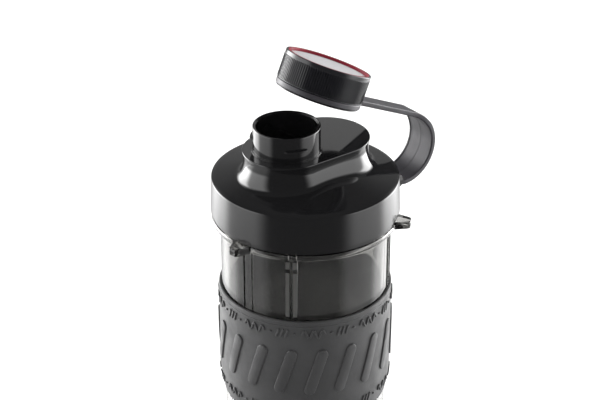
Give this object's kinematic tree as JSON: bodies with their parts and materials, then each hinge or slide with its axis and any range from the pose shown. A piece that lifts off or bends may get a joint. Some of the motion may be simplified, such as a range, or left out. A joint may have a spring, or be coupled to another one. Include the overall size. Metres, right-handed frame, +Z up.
{
  "type": "shaker bottle",
  "caption": "Smoke-clear shaker bottle with a grip sleeve, a black screw lid with an off-centre drinking spout, and a knurled cap on a rubber strap, shown open.",
  "frame": {"origin": "centre of the jar's flat foot, on the surface that the bottle stands on", "axes": "+Z up along the jar; +X from the drinking spout across the lid to the strap's pin"},
  "size_m": [0.121, 0.0917, 0.2321],
  "materials": {
    "smoke_clear": "clear smoke-tinted moulded copolyester, polished",
    "grip_silicone": "matt silicone with a fine moulded texture",
    "gloss_black": "polished moulded plastic",
    "seal_silicone": "translucent silicone",
    "screen_plastic": "moulded plastic",
    "steel": "ground pin",
    "strap_rubber": "satin soft rubber",
    "cap_plastic": "satin moulded plastic, finely knurled",
    "silver_disc": "satin silver-grey insert",
    "red_trim": "dark red metallic ring"
  },
  "bodies": {
    "bottle": {"jar": "smoke_clear", "sleeve": "grip_silicone"},
    "lid_seal": {"lid_gasket": "seal_silicone", "mixing_screen": "screen_plastic"},
    "lid": {"lid_shell": "gloss_black", "strap_pin": "steel"},
    "strap_loop": {"strap_loop": "strap_rubber"},
    "strap_arm": {"strap_arm": "strap_rubber"},
    "cap_ring": {"strap_ring": "strap_rubber"},
    "cap": {"cap_shell": "cap_plastic", "cap_disc": "silver_disc", "cap_accent_ring": "red_trim", "cap_seal": "seal_silicone"}
  },
  "joints": [
    {"name": "lid_lift", "type": "slide", "parent": "bottle", "child": "lid_seal", "axis": [0, 0, 1], "range_m": [0, 0.004]},
    {"name": "lid_turn", "type": "hinge", "parent": "lid_seal", "child": "lid", "pos_m": [0, 0, 0.172], "axis": [0, 0, 1], "range_deg": [0, 120]},
    {"name": "cap_swing", "type": "hinge", "parent": "lid", "child": "strap_loop", "pos_m": [0.0479, 0, 0.1564], "axis": [0, 1, 0], "range_deg": [0, 80]},
    {"name": "strap_flex", "type": "hinge", "parent": "strap_loop", "child": "strap_arm", "pos_m": [0.01498, 0, 0.165], "axis": [0, -1, 0], "range_deg": [0, 24], "stiffness_Nm_per_rad": 0.06, "springref_deg": -2.86},
    {"name": "cap_press", "type": "slide", "parent": "strap_arm", "child": "cap_ring", "axis": [-0.4067, 0, -0.9135], "range_m": [0, 0.013], "stiffness_N_per_m": 120, "springref_m": -0.002},
    {"name": "cap_turn", "type": "hinge", "parent": "cap_ring", "child": "cap", "pos_m": [0.0065, 0, 0.20884], "axis": [0.4067, 0, 0.9135], "continuous": true}
  ],
  "couplings": [
    {"joint": "lid_lift", "follows": "lid_turn", "m_per_rad": 0.0019099}
  ]
}
